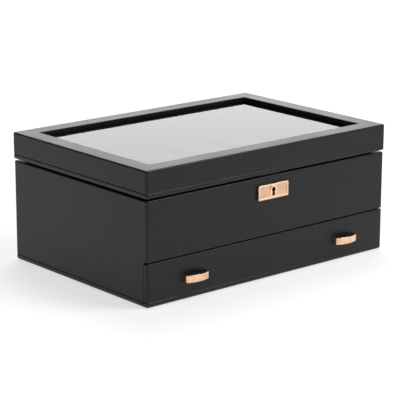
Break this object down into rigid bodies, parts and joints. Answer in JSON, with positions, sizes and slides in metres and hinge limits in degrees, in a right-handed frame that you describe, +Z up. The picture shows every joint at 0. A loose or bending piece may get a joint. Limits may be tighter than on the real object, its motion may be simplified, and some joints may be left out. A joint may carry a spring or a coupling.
{
  "type": "watch box",
  "caption": "Leather-covered watch box with a hinged glass-topped lid, a full-width drawer with strap handles, a front lock and padded watch slots.",
  "frame": {"origin": "centre of the underside, on the face of the base felt that the box rests on", "axes": "+X to the viewer's right along the box's longest side, front towards -Y, +Z up"},
  "size_m": [0.3412, 0.2479, 0.1445],
  "materials": {
    "black_leather": "smooth satin leatherette",
    "dark_suede": "short suede nap",
    "pillow_suede": "short suede nap, soft filling",
    "base_felt": "pressed felt",
    "board_wood": "raw fibreboard",
    "rose_gold": "polished rose gold plate",
    "hinge_steel": "brushed",
    "lock_steel": "brushed",
    "window_glass": "clear polished"
  },
  "bodies": {
    "case": {"base_pad": "base_felt", "base_board": "board_wood", "left_wall": "board_wood", "right_wall": "board_wood", "back_wall": "board_wood", "front_wall": "board_wood", "deck_board": "board_wood", "case_wrap": "black_leather", "lining_left": "dark_suede", "lining_right": "dark_suede", "lining_front": "dark_suede", "lining_back": "dark_suede", "floor_lining": "dark_suede", "long_divider": "dark_suede", "cross_divider_1": "dark_suede", "cross_divider_2": "dark_suede", "cross_divider_3": "dark_suede", "cross_divider_4": "dark_suede", "watch_pillow_1": "pillow_suede", "watch_pillow_2": "pillow_suede", "watch_pillow_3": "pillow_suede", "watch_pillow_4": "pillow_suede", "watch_pillow_5": "pillow_suede", "watch_pillow_6": "pillow_suede", "watch_pillow_7": "pillow_suede", "watch_pillow_8": "pillow_suede", "watch_pillow_9": "pillow_suede", "watch_pillow_10": "pillow_suede", "lock_case": "lock_steel", "escutcheon": "rose_gold", "hinge_leaf_lower_left": "hinge_steel", "hinge_leaf_lower_right": "hinge_steel", "hinge_pin_left": "hinge_steel", "hinge_pin_right": "hinge_steel", "hinge_screw_lower_left_a": "hinge_steel", "hinge_screw_lower_left_b": "hinge_steel", "hinge_screw_lower_right_a": "hinge_steel", "hinge_screw_lower_right_b": "hinge_steel"},
    "lid": {"lid_frame": "board_wood", "lid_wrap": "black_leather", "glass_pane": "window_glass", "lid_retainer": "dark_suede", "strike_plate": "lock_steel", "hinge_leaf_upper_left": "hinge_steel", "hinge_leaf_upper_right": "hinge_steel", "hinge_screw_upper_left_a": "hinge_steel", "hinge_screw_upper_left_b": "hinge_steel", "hinge_screw_upper_right_a": "hinge_steel", "hinge_screw_upper_right_b": "hinge_steel"},
    "drawer": {"drawer_front_board": "board_wood", "drawer_front_wrap": "black_leather", "drawer_side_left": "board_wood", "drawer_side_right": "board_wood", "drawer_back": "board_wood", "drawer_floor": "board_wood", "drawer_lining": "dark_suede", "drawer_divider": "dark_suede", "handle_left": "rose_gold", "handle_right": "rose_gold"},
    "bolt": {"lock_bolt": "lock_steel"}
  },
  "joints": [
    {"name": "lid_hinge", "type": "hinge", "parent": "case", "child": "lid", "pos_m": [0, 0.1192, 0.1139], "axis": [-1, 0, 0], "range_deg": [0, 100]},
    {"name": "drawer_slide", "type": "slide", "parent": "case", "child": "drawer", "axis": [0, -1, 0], "range_m": [0, 0.15]},
    {"name": "lock_bolt_slide", "type": "slide", "parent": "case", "child": "bolt", "axis": [1, 0, 0], "range_m": [0, 0.004]}
  ]
}
